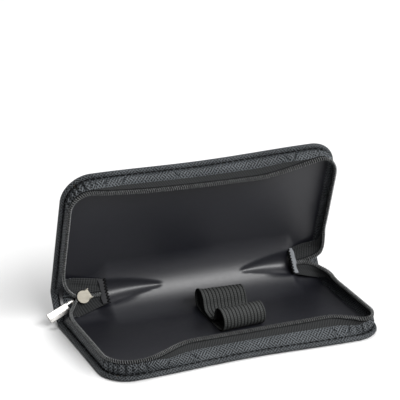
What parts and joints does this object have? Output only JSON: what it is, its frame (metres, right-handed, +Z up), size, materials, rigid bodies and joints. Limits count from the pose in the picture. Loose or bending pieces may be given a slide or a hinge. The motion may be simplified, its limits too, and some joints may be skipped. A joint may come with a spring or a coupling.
{
  "type": "fountain pen case",
  "caption": "Zip-round pen case in crosshatch-grained artificial leather, standing open, with stiff covers, gathered side strips, a coil zip with slider and pull, and elastic pen loops.",
  "frame": {"origin": "centre of the bottom cover's flat outer face, which the case rests on", "axes": "+X along the spine, towards the closed end of the zip; +Y towards the spine; +Z up"},
  "size_m": [0.1764, 0.0932, 0.0946],
  "materials": {
    "saffiano": "crosshatch embossed, semi-matt",
    "saffiano_strip": "crosshatch embossed, thin and wrinkled, semi-matt",
    "board": "grey board, matt",
    "lining": "smooth satin",
    "zip_tape": "twill woven tape, matt",
    "zip_coil": "nylon, slightly shiny",
    "thread": "polyester thread",
    "elastic": "ribbed elastic, matt",
    "ribbon": "satin ribbon",
    "slider_metal": "nickel plated, satin",
    "pull_metal": "nickel plated, polished"
  },
  "bodies": {
    "bottom": {"bottom_cover": "saffiano", "bottom_board": "board", "bottom_lining": "lining", "bottom_gusset": "saffiano_strip", "bottom_zip_tape": "zip_tape", "bottom_zip_coil": "zip_coil", "bottom_stitching": "thread", "pen_loops": "elastic", "loop_stitching": "thread"},
    "spine": {"spine_cover": "saffiano", "spine_lining": "lining", "left_end_tab": "zip_tape", "right_end_tab": "zip_tape", "left_tab_ribbon": "ribbon", "right_tab_ribbon": "ribbon", "tab_stitching": "thread", "left_zip_coil": "zip_coil", "right_zip_coil": "zip_coil"},
    "lid": {"top_cover": "saffiano", "top_board": "board", "top_lining": "lining", "top_gusset": "saffiano_strip", "top_zip_tape": "zip_tape", "top_zip_coil": "zip_coil", "top_stitching": "thread"},
    "slider": {"slider": "slider_metal"},
    "pull": {"pull_tab": "pull_metal"}
  },
  "joints": [
    {"name": "spine_fold", "type": "hinge", "parent": "bottom", "child": "spine", "pos_m": [0, 0.04, 0.0014], "axis": [1, 0, 0], "range_deg": [-37.5, 37.5]},
    {"name": "lid_fold", "type": "hinge", "parent": "spine", "child": "lid", "pos_m": [0, 0.05193, 0.01695], "axis": [1, 0, 0], "range_deg": [-37.5, 37.5]},
    {"name": "slider_travel", "type": "slide", "parent": "spine", "child": "slider", "axis": [-0.9272, -0.228, -0.2972], "range_m": [0, 0.004]},
    {"name": "pull_swing", "type": "hinge", "parent": "slider", "child": "pull", "pos_m": [-0.07358, 0.04452, 0.01057], "axis": [0.3746, -0.5644, -0.7356], "range_deg": [-12, 6]}
  ],
  "couplings": [
    {"joint": "lid_fold", "follows": "spine_fold", "ratio": 1}
  ]
}
